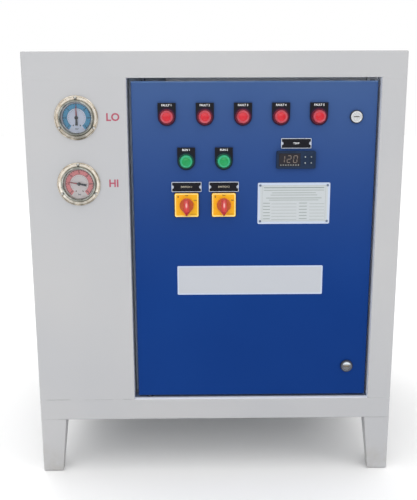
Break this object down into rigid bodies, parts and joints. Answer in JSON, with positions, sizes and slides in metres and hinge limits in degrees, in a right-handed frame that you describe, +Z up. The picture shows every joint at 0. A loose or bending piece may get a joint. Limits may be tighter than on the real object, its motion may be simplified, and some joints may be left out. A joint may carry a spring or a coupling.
{
  "type": "water chiller",
  "caption": "Air cooled water chiller: grey sheet steel cabinet on tapered legs, with a recessed blue control door, pilot lamps, switches, pressure gauges and a rear condenser fan.",
  "frame": {"origin": "on the floor under the middle of the overall box", "axes": "+X to the right seen from the front, +Y from the front to the back, +Z up"},
  "size_m": [0.768, 0.7052, 0.885],
  "materials": {
    "grey_paint": "semi-gloss powder coat",
    "blue_paint": "gloss paint",
    "zinc_steel": "zinc plated",
    "black_wire": "black coated wire",
    "fan_black": "matt black",
    "fin_aluminium": "finned",
    "brass": "machined",
    "black_plastic": "moulded",
    "dark_plastic": "moulded",
    "white_plastic": "moulded",
    "gauge_metal": "polished with a warm tint",
    "dial_card": "printed",
    "clear_glass": "clear",
    "pointer_black": "matt",
    "red_lens": "translucent",
    "green_lens": "translucent",
    "yellow_plastic": "moulded",
    "red_plastic": "moulded",
    "plate_white": "printed plate",
    "chrome": "polished"
  },
  "bodies": {
    "cabinet": {"base_frame": "grey_paint", "floor_tray": "zinc_steel", "front_left_leg": "grey_paint", "front_right_leg": "grey_paint", "back_left_leg": "grey_paint", "back_right_leg": "grey_paint", "gauge_panel": "grey_paint", "front_header": "grey_paint", "front_stile": "grey_paint", "top_panel": "grey_paint", "left_side_panel": "grey_paint", "right_side_panel": "grey_paint", "back_panel": "grey_paint", "fan_ring": "zinc_steel", "fan_guard": "black_wire", "condenser_fan": "fan_black", "condenser_coil": "fin_aluminium", "water_sockets": "brass", "cable_gland": "black_plastic", "control_box": "grey_paint", "mounting_plate": "zinc_steel", "circuit_breakers": "white_plastic", "contactors": "dark_plastic", "door_stops": "grey_paint", "pivot_pins": "zinc_steel", "gauge_cases": "gauge_metal", "gauge_dials": "dial_card", "gauge_glasses": "clear_glass"},
    "door": {"door": "blue_paint", "lamp_legends": "black_plastic", "red_lamps": "red_lens", "green_lamps": "green_lens", "control_bodies": "dark_plastic", "switch_plates": "yellow_plastic", "label_frames": "white_plastic", "temperature_controller": "black_plastic", "rating_plate": "plate_white", "name_plate": "plate_white", "lock_housings": "chrome"},
    "left_switch": {"left_knob": "red_plastic"},
    "right_switch": {"right_knob": "red_plastic"},
    "upper_lock": {"upper_lock": "chrome"},
    "lower_lock": {"lower_lock": "chrome"},
    "low_pointer": {"low_pressure_pointer": "pointer_black"},
    "high_pointer": {"high_pressure_pointer": "pointer_black"}
  },
  "joints": [
    {"name": "door_hinge", "type": "hinge", "parent": "cabinet", "child": "door", "pos_m": [-0.141, -0.30935, 0.5005], "axis": [0, 0, -1], "range_deg": [0, 100]},
    {"name": "left_switch_turn", "type": "hinge", "parent": "door", "child": "left_switch", "pos_m": [-0.0575, -0.32135, 0.585], "axis": [0, 1, 0], "range_deg": [0, 90]},
    {"name": "right_switch_turn", "type": "hinge", "parent": "door", "child": "right_switch", "pos_m": [0.0175, -0.32135, 0.585], "axis": [0, 1, 0], "range_deg": [0, 90]},
    {"name": "upper_lock_turn", "type": "hinge", "parent": "door", "child": "upper_lock", "pos_m": [0.2795, -0.32135, 0.759], "axis": [0, 1, 0], "range_deg": [0, 90]},
    {"name": "lower_lock_turn", "type": "hinge", "parent": "door", "child": "lower_lock", "pos_m": [0.2795, -0.32135, 0.237], "axis": [0, 1, 0], "range_deg": [0, 90]},
    {"name": "low_pressure_reading", "type": "hinge", "parent": "cabinet", "child": "low_pointer", "pos_m": [-0.272, -0.32935, 0.759], "axis": [0, 1, 0], "range_deg": [-135, 135], "stiffness_Nm_per_rad": 0.001},
    {"name": "high_pressure_reading", "type": "hinge", "parent": "cabinet", "child": "high_pointer", "pos_m": [-0.272, -0.32935, 0.629], "axis": [0, 1, 0], "range_deg": [-55, 215], "stiffness_Nm_per_rad": 0.001}
  ]
}
